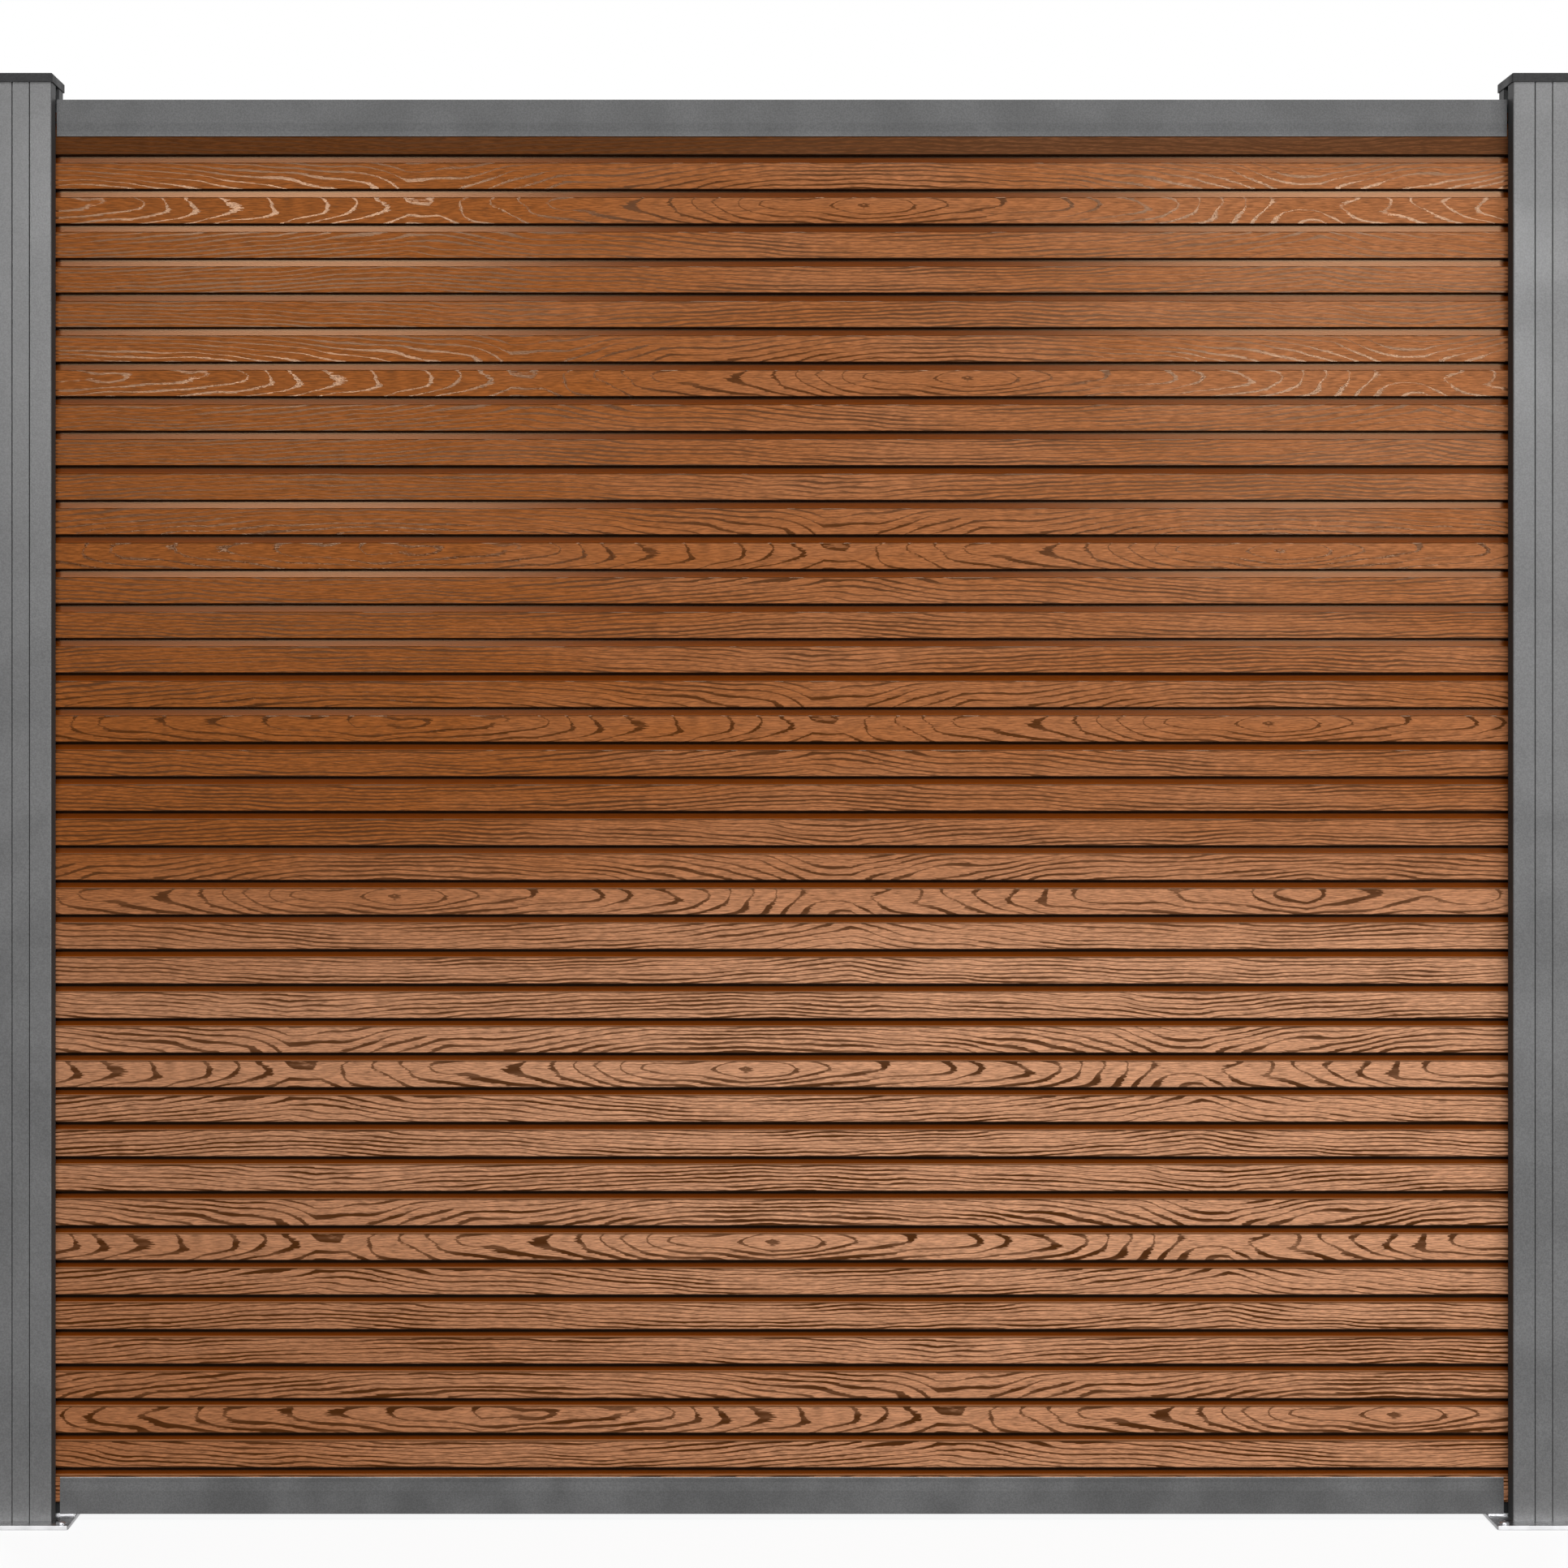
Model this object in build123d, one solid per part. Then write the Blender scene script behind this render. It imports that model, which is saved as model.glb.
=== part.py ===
from build123d import *
import os

# One bay of a composite fence, in millimetres. X runs along the fence, -Y is the side that faces the
# viewer, Z is up. The origin is midway between the posts, on the ground under the base plates.

# Bay
BAY_OPENING = 1782.0        # clear distance between the two posts
BOARD_COUNT = 8
FIT_CLEARANCE = 0.3         # play on each side of a sliding fit

# Slatted boards: extruded composite with raised slats, tongue on top and groove below
SLATS_PER_BOARD = 5
SLAT_PITCH = 42.4
SLAT_GAP = 9.0              # width of the recess between two slats
SLAT_RISE = 8.0             # how far a slat stands out of the board
SLAT_EDGE_RADIUS = 1.2
BOARD_THICKNESS = 20.0      # over the slats
BOARD_WALL = 3.6            # round the hollow chambers
TONGUE_HEIGHT = 12.0
TONGUE_THICKNESS = 4.4
BOARD_BACK_CHAMFER = 1.0    # eases the joint between two boards on the back
SLOT_ENGAGEMENT = 9.0       # how far a board end reaches into its post
SLOT_PLAY = 1.0             # in front of and behind a board end

# Rails: one aluminium extrusion, used upright at the bottom and upside down at the top
RAIL_HEIGHT = 45.0
RAIL_DEPTH = 31.5           # of the channel that takes the board
RAIL_WALL = 2.0
RAIL_LIP_WALL = 1.1         # thinner wall at the mouth of the channel
RAIL_LIP_HEIGHT = 6.0
RAIL_TAPER_HEIGHT = 10.5    # of the slope between wall and lip
RAIL_EDGE_BEVEL = 0.6
BOTTOM_RAIL_END_GAP = 5.5   # between the bottom rail and each post
TOP_RAIL_END_GAP = 1.5      # between the top rail and each post

# Posts: square aluminium extrusions with the same slot in all four faces
POST_WIDTH = 75.0
POST_WALL = 2.0
POST_CORNER_RADIUS = 2.0
POST_SLOT_DEPTH = 15.0
POST_SLOT_EASE = 0.5        # bevel of the slot's mouth
POST_RISE = 25.0            # above the top rail
PORT_INSET = 6.5            # centre of a screw port, in from the post's two faces
PORT_WALL = 2.2

# Cover strips: snap into the slots that hold no boards
COVER_WALL = 1.4
COVER_JOINT = 0.8           # open line on each side of the strip
COVER_EDGE_BEVEL = 0.4
COVER_FOOT_HEIGHT = 1.6
COVER_FOOT_PLAY = 0.1

# Post caps: moulded lids with a skirt outside the post and four corner lugs inside
CAP_TOP = 3.0
CAP_SKIRT = 8.2
CAP_WALL = 1.5
CAP_CORNER_RADIUS = 3.0
CAP_EDGE_BEVEL = 1.5
CAP_LUG_LENGTH = 15.0
CAP_LUG_WIDTH = 12.0
CAP_LUG_WALL = 2.0

# Base plates: square, with an anchor hole in each corner
PLATE_THICKNESS = 5.0
PLATE_OVERHANG = 25.0       # past the post on each side
PLATE_CORNER_RADIUS = 3.0
PLATE_EDGE_CHAMFER = 0.5
ANCHOR_HOLE_RADIUS = 4.5
ANCHOR_EDGE = 10.0          # hole centre from the plate's edges

# Countersunk screws that hold each plate to the ports of its post
SCREW_RADIUS = 2.0
SCREW_LENGTH = 30.0
SCREW_HEAD_RADIUS = 4.2
SCREW_HEAD_RECESS = 0.3
SCREW_PLAY = 0.1

# Seat of the bottom rail: an angle bracket on the plate, with a moulded packer for the board end
BRACKET_THICKNESS = 2.5
BRACKET_WIDTH = 18.0
BRACKET_BEND_RADIUS = 1.0   # inside the fold
BRACKET_REACH = 18.0        # of the bracket's flat leg under the bottom rail
PACKER_WIDTH = 14.0
PACKER_BEVEL = 0.6

# Sizes that follow from those above
SLAT_WIDTH = SLAT_PITCH - SLAT_GAP
BOARD_COVER = SLATS_PER_BOARD * SLAT_PITCH
BOARD_BACK = BOARD_THICKNESS / 2
BOARD_FLOOR = -BOARD_BACK + SLAT_RISE
BOARD_LENGTH = BAY_OPENING + 2 * SLOT_ENGAGEMENT
TONGUE_CENTRE = (BOARD_FLOOR + BOARD_BACK) / 2

RAIL_INSIDE = BOARD_THICKNESS + 2 * FIT_CLEARANCE
RAIL_WIDTH = RAIL_INSIDE + 2 * RAIL_WALL
CHAMBER_HEIGHT = RAIL_HEIGHT - RAIL_DEPTH - 2 * RAIL_WALL
BOTTOM_RAIL_LENGTH = BAY_OPENING - 2 * BOTTOM_RAIL_END_GAP
TOP_RAIL_LENGTH = BAY_OPENING - 2 * TOP_RAIL_END_GAP

RAIL_BASE = PLATE_THICKNESS + BRACKET_THICKNESS
BOARDS_BASE = RAIL_BASE + RAIL_HEIGHT - RAIL_DEPTH
BOARDS_TOP = BOARDS_BASE + BOARD_COUNT * BOARD_COVER + TONGUE_HEIGHT
TOP_RAIL_TOP = BOARDS_TOP + RAIL_HEIGHT - RAIL_DEPTH

POST_SLOT_WIDTH = BOARD_THICKNESS + 2 * SLOT_PLAY
POST_HALF = POST_WIDTH / 2
POST_X = BAY_OPENING / 2 + POST_HALF
POST_TOP = TOP_RAIL_TOP + POST_RISE
POST_LENGTH = POST_TOP - PLATE_THICKNESS
PORT_OFFSET = POST_HALF - PORT_INSET
PORT_RADIUS = SCREW_RADIUS + SCREW_PLAY
COVER_WIDTH = POST_SLOT_WIDTH - 2 * COVER_JOINT

PLATE_WIDTH = POST_WIDTH + 2 * PLATE_OVERHANG
ANCHOR_OFFSET = PLATE_WIDTH / 2 - ANCHOR_EDGE

FACE_ANGLES = (0, 90, 180, 270)
CORNER_SIGNS = [(sx, sy) for sx in (-1, 1) for sy in (-1, 1)]


def rectangle_between(low, high):
    """A rectangle given by two opposite corners."""
    width = high[0] - low[0]
    height = high[1] - low[1]
    return Pos(low[0] + width / 2, low[1] + height / 2) * Rectangle(width, height)


def vertices_at(sketch, points, tolerance=1e-3):
    """The sketch's vertices that lie on any of the points."""
    wanted = [Vector(*point) for point in points]
    return [v for v in sketch.vertices() if any((Vector(*v) - w).length < tolerance for w in wanted)]


def along_fence(section, length):
    """Extrudes a section drawn in Y and Z to a bar centred on the bay."""
    return extrude(Plane.YZ * section, amount=length / 2, both=True)


# Boards

def board_section():
    """Section of a slatted board in (y, z), with z = 0 at the underside of its lowest slat."""
    section = rectangle_between((BOARD_FLOOR, 0), (BOARD_BACK, BOARD_COVER))
    edges = []
    for slat in range(SLATS_PER_BOARD):
        low = slat * SLAT_PITCH
        high = low + SLAT_WIDTH
        section += rectangle_between((-BOARD_BACK, low), (BOARD_FLOOR, high))
        edges += [(-BOARD_BACK, low), (-BOARD_BACK, high)]
    section = fillet(vertices_at(section, edges), SLAT_EDGE_RADIUS)
    section = chamfer(vertices_at(section, [(BOARD_BACK, 0), (BOARD_BACK, BOARD_COVER)]), BOARD_BACK_CHAMFER)
    half_tongue = TONGUE_THICKNESS / 2
    section += rectangle_between(
        (TONGUE_CENTRE - half_tongue, BOARD_COVER), (TONGUE_CENTRE + half_tongue, BOARD_COVER + TONGUE_HEIGHT)
    )
    groove_top = TONGUE_HEIGHT + FIT_CLEARANCE
    half_groove = half_tongue + FIT_CLEARANCE
    section -= rectangle_between((TONGUE_CENTRE - half_groove, 0), (TONGUE_CENTRE + half_groove, groove_top))
    for slat in range(SLATS_PER_BOARD):
        floor = slat * SLAT_PITCH if slat else groove_top
        roof = slat * SLAT_PITCH + SLAT_WIDTH
        section -= rectangle_between(
            (BOARD_WALL - BOARD_BACK, floor + BOARD_WALL), (BOARD_BACK - BOARD_WALL, roof - BOARD_WALL)
        )
    return section


# Rails

def rail_section():
    """Section of the rail in (y, z), with the board channel upwards and z = 0 at its underside."""
    half_inside = RAIL_INSIDE / 2
    half = RAIL_WIDTH / 2
    lip = half_inside + RAIL_LIP_WALL
    lip_base = RAIL_HEIGHT - RAIL_LIP_HEIGHT
    flank = [(half, 0), (half, lip_base - RAIL_TAPER_HEIGHT), (lip, lip_base), (lip, RAIL_HEIGHT)]
    outline = flank + [(-y, z) for y, z in reversed(flank)]
    section = make_face(Polyline(*outline, close=True))
    corners = [(s * half, 0) for s in (-1, 1)] + [(s * lip, RAIL_HEIGHT) for s in (-1, 1)]
    section = chamfer(vertices_at(section, corners), RAIL_EDGE_BEVEL)
    section -= rectangle_between((-half_inside, RAIL_HEIGHT - RAIL_DEPTH), (half_inside, RAIL_HEIGHT))
    return section - rectangle_between((-half_inside, RAIL_WALL), (half_inside, RAIL_WALL + CHAMBER_HEIGHT))


# Posts

def port_corners(side):
    """Signs of x and y of the two opposite corners that hold a screw port; side is -1 or 1."""
    return [(-side, -1), (side, 1)]


def port_axes(side):
    """Places of the screw ports about the axis of a post."""
    return [Pos(sx * PORT_OFFSET, sy * PORT_OFFSET) for sx, sy in port_corners(side)]


def post_section(side):
    """Square tube with a slot in each face and a screw port in two corners."""
    half_slot = POST_SLOT_WIDTH / 2
    slot = rectangle_between((-half_slot, POST_HALF - POST_SLOT_DEPTH), (half_slot, POST_HALF))
    pocket = rectangle_between(
        (-half_slot - POST_WALL, POST_HALF - POST_SLOT_DEPTH - POST_WALL), (half_slot + POST_WALL, POST_HALF)
    )
    outline = RectangleRounded(POST_WIDTH, POST_WIDTH, POST_CORNER_RADIUS)
    inside = Rectangle(POST_WIDTH - 2 * POST_WALL, POST_WIDTH - 2 * POST_WALL)
    for angle in FACE_ANGLES:
        outline -= Rot(0, 0, angle) * slot
        inside -= Rot(0, 0, angle) * pocket
    mouths = [(s * half_slot, t * POST_HALF) for s, t in CORNER_SIGNS]
    mouths += [(t * POST_HALF, s * half_slot) for s, t in CORNER_SIGNS]
    section = chamfer(vertices_at(outline, mouths), POST_SLOT_EASE) - inside
    boss_width = POST_HALF - POST_WALL - (PORT_OFFSET - PORT_RADIUS - PORT_WALL)
    boss_offset = POST_HALF - POST_WALL - boss_width / 2
    for sx, sy in port_corners(side):
        section += Pos(sx * boss_offset, sy * boss_offset) * Rectangle(boss_width, boss_width)
    for axis in port_axes(side):
        section -= axis * Circle(PORT_RADIUS)
    return section


def cover_section():
    """Channel that snaps into the slot of the post's +Y face and lies flush with it."""
    half = COVER_WIDTH / 2
    bottom = POST_HALF - POST_SLOT_DEPTH
    section = rectangle_between((-half, POST_HALF - COVER_WALL), (half, POST_HALF))
    section = chamfer(vertices_at(section, [(-half, POST_HALF), (half, POST_HALF)]), COVER_EDGE_BEVEL)
    foot = COVER_JOINT - COVER_FOOT_PLAY
    for side in (-1, 1):
        inner, outer = sorted((side * (half - COVER_WALL), side * half))
        section += rectangle_between((inner, bottom), (outer, POST_HALF - COVER_WALL))
        inner, outer = sorted((side * half, side * (half + foot)))
        section += rectangle_between((inner, bottom), (outer, bottom + COVER_FOOT_HEIGHT))
    return section


def post_cap():
    """Lid with z = 0 where it sits on the end of the post."""
    width = POST_WIDTH + 2 * (FIT_CLEARANCE + CAP_WALL)
    hollow = POST_WIDTH + 2 * FIT_CLEARANCE
    lid = Pos(0, 0, -CAP_SKIRT) * extrude(
        RectangleRounded(width, width, CAP_CORNER_RADIUS), CAP_SKIRT + CAP_TOP
    )
    lid = chamfer(lid.edges().group_by(Axis.Z)[-1], CAP_EDGE_BEVEL)
    lid -= Pos(0, 0, -CAP_SKIRT) * extrude(Rectangle(hollow, hollow), CAP_SKIRT)
    near = POST_SLOT_WIDTH / 2 + POST_WALL + FIT_CLEARANCE
    lug = rectangle_between((near, near), (near + CAP_LUG_WIDTH, near + CAP_LUG_WALL))
    lug += rectangle_between((near, near), (near + CAP_LUG_WALL, near + CAP_LUG_WIDTH))
    for angle in FACE_ANGLES:
        lid += Rot(0, 0, angle) * extrude(lug, -CAP_LUG_LENGTH)
    return lid


# Base

def base_plate(side):
    """Flat plate with anchor holes round the post and countersunk holes under its screw ports."""
    plate = extrude(RectangleRounded(PLATE_WIDTH, PLATE_WIDTH, PLATE_CORNER_RADIUS), PLATE_THICKNESS)
    plate = chamfer(plate.faces().filter_by(Axis.Z).edges(), PLATE_EDGE_CHAMFER)
    for sx, sy in CORNER_SIGNS:
        hole = extrude(Circle(ANCHOR_HOLE_RADIUS), PLATE_THICKNESS)
        plate -= Pos(sx * ANCHOR_OFFSET, sy * ANCHOR_OFFSET) * hole
    hole_radius = SCREW_RADIUS + SCREW_PLAY
    sink_radius = SCREW_HEAD_RADIUS + SCREW_HEAD_RECESS + SCREW_PLAY
    sink_height = sink_radius - hole_radius
    sink = Cone(sink_radius, hole_radius, sink_height, align=(Align.CENTER, Align.CENTER, Align.MIN))
    for axis in port_axes(side):
        plate -= axis * extrude(Circle(hole_radius), PLATE_THICKNESS)
        plate -= axis * sink
    return plate


def base_screw():
    """Countersunk screw that points up, with z = 0 at the underside of the plate."""
    low = SCREW_HEAD_RECESS
    head_top = low + SCREW_HEAD_RADIUS - SCREW_RADIUS
    outline = Polyline(
        (0, low),
        (SCREW_HEAD_RADIUS, low),
        (SCREW_RADIUS, head_top),
        (SCREW_RADIUS, SCREW_LENGTH),
        (0, SCREW_LENGTH),
        close=True,
    )
    return revolve(Plane.XZ * make_face(outline), Axis.Z)


# Seat of the bottom rail, drawn for the right-hand post

def rail_bracket():
    """Angle with a flat leg on the plate, under the rail, and an upright leg at the back of the post's slot."""
    face = BAY_OPENING / 2
    back = face + POST_SLOT_DEPTH - FIT_CLEARANCE
    riser = back - BRACKET_THICKNESS
    flat_end = face - BOTTOM_RAIL_END_GAP - BRACKET_REACH
    section = rectangle_between((flat_end, PLATE_THICKNESS), (back, RAIL_BASE))
    section += rectangle_between((riser, PLATE_THICKNESS), (back, BOARDS_BASE))
    section = fillet(vertices_at(section, [(riser, RAIL_BASE)]), BRACKET_BEND_RADIUS)
    heel = vertices_at(section, [(back, PLATE_THICKNESS)])
    section = fillet(heel, BRACKET_BEND_RADIUS + BRACKET_THICKNESS)
    return extrude(Plane.XZ * section, amount=BRACKET_WIDTH / 2, both=True)


def board_packer():
    """Block that stands on the bracket between rail and post, and carries the board end."""
    near = BAY_OPENING / 2 - BOTTOM_RAIL_END_GAP + FIT_CLEARANCE
    far = BAY_OPENING / 2 + POST_SLOT_DEPTH - FIT_CLEARANCE - BRACKET_THICKNESS - BRACKET_BEND_RADIUS
    outline = rectangle_between((near, -PACKER_WIDTH / 2), (far, PACKER_WIDTH / 2))
    outline = chamfer(outline.vertices(), PACKER_BEVEL)
    return Pos(0, 0, RAIL_BASE) * extrude(outline, BOARDS_BASE - RAIL_BASE)


# Assembly

def base_screws():
    """The countersunk screws of both posts."""
    screw = base_screw()
    places = [Pos(side * POST_X) * axis for side in (-1, 1) for axis in port_axes(side)]
    return Compound(children=[place * screw for place in places])


def build():
    """All pieces of the bay by name, each where it belongs."""
    pieces = {}
    board = along_fence(board_section(), BOARD_LENGTH)
    for number in range(BOARD_COUNT):
        pieces[f"slat_board_{number + 1}"] = Pos(0, 0, BOARDS_BASE + number * BOARD_COVER) * board
    bottom_rail = along_fence(rail_section(), BOTTOM_RAIL_LENGTH)
    pieces["bottom_rail"] = Pos(0, 0, RAIL_BASE) * bottom_rail
    top_rail = along_fence(rail_section(), TOP_RAIL_LENGTH)
    pieces["top_rail"] = Pos(0, 0, TOP_RAIL_TOP) * Rot(180, 0, 0) * top_rail
    cover = extrude(cover_section(), POST_LENGTH)
    for name, side in (("left", -1), ("right", 1)):
        foot = Pos(side * POST_X, 0, PLATE_THICKNESS)
        pieces[f"post_{name}"] = foot * extrude(post_section(side), POST_LENGTH)
        for face, angle in (("rear", 0), ("front", 180), ("outer", -90 * side)):
            pieces[f"{face}_cover_{name}"] = foot * Rot(0, 0, angle) * cover
        pieces[f"post_cap_{name}"] = Pos(side * POST_X, 0, POST_TOP) * post_cap()
        pieces[f"base_plate_{name}"] = Pos(side * POST_X) * base_plate(side)
        turn = Rot(0, 0, 0 if side > 0 else 180)
        pieces[f"rail_bracket_{name}"] = turn * rail_bracket()
        pieces[f"board_packer_{name}"] = turn * board_packer()
    pieces["base_screws"] = base_screws()
    return pieces


os.makedirs("parts", exist_ok=True)
for name, piece in build().items():
    export_step(piece, f"parts/{name}.step")
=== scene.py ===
"""Looks of a composite fence panel: slatted boards between two slotted aluminium posts."""
import logging
import math
from dataclasses import dataclass
from enum import Enum

import bmesh
import bpy
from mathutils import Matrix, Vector


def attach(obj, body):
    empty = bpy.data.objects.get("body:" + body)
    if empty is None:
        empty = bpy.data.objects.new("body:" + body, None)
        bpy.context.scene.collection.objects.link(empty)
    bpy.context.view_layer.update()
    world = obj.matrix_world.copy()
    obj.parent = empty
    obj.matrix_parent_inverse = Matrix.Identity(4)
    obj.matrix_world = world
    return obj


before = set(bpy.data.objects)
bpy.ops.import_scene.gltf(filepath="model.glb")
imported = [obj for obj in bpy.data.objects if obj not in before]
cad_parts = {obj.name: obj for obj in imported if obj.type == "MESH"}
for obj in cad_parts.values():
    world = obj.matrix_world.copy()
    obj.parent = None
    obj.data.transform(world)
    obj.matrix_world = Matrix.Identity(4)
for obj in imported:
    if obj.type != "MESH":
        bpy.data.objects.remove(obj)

LOG = logging.getLogger("fence_panel")
MM = 0.001
PHOTO_PIXELS = 1932.0
NOISE_LOW, NOISE_HIGH = 0.3, 0.7    # usual range of a noise
MIX_FROM, MIX_TO, MIX_RESULT = 6, 7, 2  # colour sockets of a Mix node

Socket = bpy.types.NodeSocket
Number = float | Socket
Colour = tuple[float, float, float]


class Slot(Enum):
    """Material slots of the pieces that are added to the frame."""

    SCREW = "screw_steel"


class Side(Enum):
    """The two posts, by the word that ends the names of their nodes."""

    LEFT = "left"
    RIGHT = "right"


@dataclass(frozen=True)
class Step:
    """A smooth change between two values of what drives it."""

    low: float
    high: float
    start: float = 0.0
    end: float = 1.0


class ShaderGraph:
    """The node tree of a material or a world, and short calls that add nodes to it."""

    def __init__(self, owner: bpy.types.Material | bpy.types.World) -> None:
        """Starts with an empty tree.

        Args:
            owner: what the tree belongs to.
        """
        owner.use_nodes = True
        self.owner = owner
        self.tree = owner.node_tree
        self.tree.nodes.clear()

    def node(self, kind: str) -> bpy.types.Node:
        """A new shader node, by the rest of Blender's name for it."""
        return self.tree.nodes.new(f"ShaderNode{kind}")

    def wire(self, socket: Socket, value: object) -> None:
        """Links a socket to another node's output, or sets its constant.

        Args:
            socket: input socket.
            value: output socket, number, vector or colour.
        """
        if isinstance(value, bpy.types.NodeSocket):
            self.tree.links.new(value, socket)
        elif isinstance(value, tuple) and len(value) == 3 and len(socket.default_value) == 4:
            socket.default_value = (*value, 1.0)
        else:
            socket.default_value = value

    def math(self, operation: str, a: Number, b: Number = 0.0, c: Number = 0.0) -> Socket:
        """Adds a Math node.

        Args:
            operation: Blender's name of the operation.
            a: first value.
            b: second value.
            c: third value.

        Returns:
            The result's socket.
        """
        node = self.node("Math")
        node.operation = operation
        for socket, value in zip(node.inputs, (a, b, c)):
            self.wire(socket, value)
        return node.outputs[0]

    def add(self, a: Number, b: Number) -> Socket:
        """a + b."""
        return self.math("ADD", a, b)

    def sub(self, a: Number, b: Number) -> Socket:
        """a - b."""
        return self.math("SUBTRACT", a, b)

    def mul(self, a: Number, b: Number) -> Socket:
        """a times b."""
        return self.math("MULTIPLY", a, b)

    def swing(self, value: Number, size: float) -> Socket:
        """A 0 to 1 value turned into a swing of the given size on both sides of zero."""
        return self.math("MULTIPLY_ADD", value, 2.0 * size, -size)

    def ramp(
        self, value: Number, low: float, high: float, start: float = 0.0, end: float = 1.0
    ) -> Socket:
        """Smooth clamped step of a value.

        Args:
            value: the value that is mapped.
            low: value where the step starts.
            high: value where the step ends.
            start: result at low.
            end: result at high.

        Returns:
            The result's socket.
        """
        node = self.node("MapRange")
        node.interpolation_type = "SMOOTHSTEP"
        if low > high:
            low, high, start, end = high, low, end, start
        for socket, number in zip(node.inputs, (value, low, high, start, end)):
            self.wire(socket, number)
        return node.outputs[0]

    def step(self, value: Number, change: Step) -> Socket:
        """The ramp of a named change."""
        return self.ramp(value, change.low, change.high, change.start, change.end)

    def spread(self, noise: Socket, start: float, end: float) -> Socket:
        """The usual range of a noise, mapped to two values."""
        return self.ramp(noise, NOISE_LOW, NOISE_HIGH, start, end)

    def around(self, noise: Socket, middle: float, reach: float) -> Socket:
        """The usual range of a noise, mapped to a reach on both sides of a value."""
        return self.spread(noise, middle - reach, middle + reach)

    def between(self, share: Number, start: float, end: float) -> Socket:
        """A straight blend of two values, start at a share of 0 and end at 1."""
        return self.math("MULTIPLY_ADD", share, end - start, start)

    def point(self, x: Number, y: Number, z: Number) -> Socket:
        """Joins three values.

        Args:
            x: first value.
            y: second value.
            z: third value.

        Returns:
            The vector's socket.
        """
        node = self.node("CombineXYZ")
        for socket, value in zip(node.inputs, (x, y, z)):
            self.wire(socket, value)
        return node.outputs[0]

    def axes(self, vector: Socket) -> tuple[Socket, Socket, Socket]:
        """Takes a vector apart.

        Args:
            vector: the vector.

        Returns:
            Sockets of x, y and z.
        """
        node = self.node("SeparateXYZ")
        self.wire(node.inputs[0], vector)
        return node.outputs[0], node.outputs[1], node.outputs[2]

    def millimetres(self) -> tuple[Socket, Socket, Socket]:
        """Object coordinates in millimetres, as x, y and z."""
        return self.axes(self.shade(self.node("TexCoord").outputs["Object"], 1.0 / MM))

    def noise(self, vector: Socket, detail: float, roughness: float, scale: float = 1.0) -> Socket:
        """Noise texture.

        Args:
            vector: place in the noise.
            detail: octaves.
            roughness: share of the finer octaves.
            scale: features per unit.

        Returns:
            Socket of a value round 0.5.
        """
        node = self.node("TexNoise")
        values = {"Vector": vector, "Scale": scale, "Detail": detail, "Roughness": roughness}
        for name, value in values.items():
            self.wire(node.inputs[name], value)
        return node.outputs[0]

    def tilted(self, normal: Socket, rise: Socket) -> Socket:
        """A normal turned upwards or downwards.

        Args:
            normal: the normal.
            rise: what is added along Z.

        Returns:
            Socket of the turned normal, of length 1.
        """
        turned = self.node("VectorMath")
        self.wire(turned.inputs[0], normal)
        self.wire(turned.inputs[1], self.point(0.0, 0.0, rise))
        unit = self.node("VectorMath")
        unit.operation = "NORMALIZE"
        self.wire(unit.inputs[0], turned.outputs[0])
        return unit.outputs[0]

    def dice(self, value: Number, salt: Number) -> Socket:
        """Rolls a steady random number for each pair of whole values.

        Args:
            value: first whole value.
            salt: second whole value.

        Returns:
            Socket of a number from 0 to 1.
        """
        node = self.node("TexWhiteNoise")
        node.noise_dimensions = "2D"
        self.wire(node.inputs["Vector"], self.point(value, salt, 0.0))
        return node.outputs[0]

    def mix(self, factor: Number, a: object, b: object) -> Socket:
        """Blend of two colours.

        Args:
            factor: share of the second colour.
            a: colour at 0.
            b: colour at 1.

        Returns:
            The blended colour's socket.
        """
        node = self.node("Mix")
        node.data_type = "RGBA"
        self.wire(node.inputs[0], factor)
        self.wire(node.inputs[MIX_FROM], a)
        self.wire(node.inputs[MIX_TO], b)
        return node.outputs[MIX_RESULT]

    def shade(self, colour: object, level: Number) -> Socket:
        """Makes a colour lighter or darker.

        Args:
            colour: the colour.
            level: factor for it.

        Returns:
            Socket of the changed colour.
        """
        node = self.node("VectorMath")
        node.operation = "SCALE"
        self.wire(node.inputs[0], colour)
        self.wire(node.inputs["Scale"], level)
        return node.outputs[0]

    def relief(self, height: Socket, depth_mm: float) -> Socket:
        """Bump from a height.

        Args:
            height: relief in units of depth_mm.
            depth_mm: millimetres of a height of 1.

        Returns:
            Socket of the bent normal.
        """
        node = self.node("Bump")
        for name, value in {"Strength": 1.0, "Distance": depth_mm * MM, "Height": height}.items():
            self.wire(node.inputs[name], value)
        return node.outputs[0]

    def show(self, shader: Socket) -> None:
        """Ends the tree in a shader."""
        kind = "OutputWorld" if isinstance(self.owner, bpy.types.World) else "OutputMaterial"
        self.wire(self.node(kind).inputs["Surface"], shader)

    def surface(self, **inputs: object) -> bpy.types.Material:
        """Ends a material in a Principled BSDF.

        Args:
            **inputs: values of its sockets, with underscores for spaces.

        Returns:
            The finished material.
        """
        shader = self.node("BsdfPrincipled")
        for name, value in inputs.items():
            self.wire(shader.inputs[name.replace("_", " ")], value)
        self.show(shader.outputs[0])
        return self.owner


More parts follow.
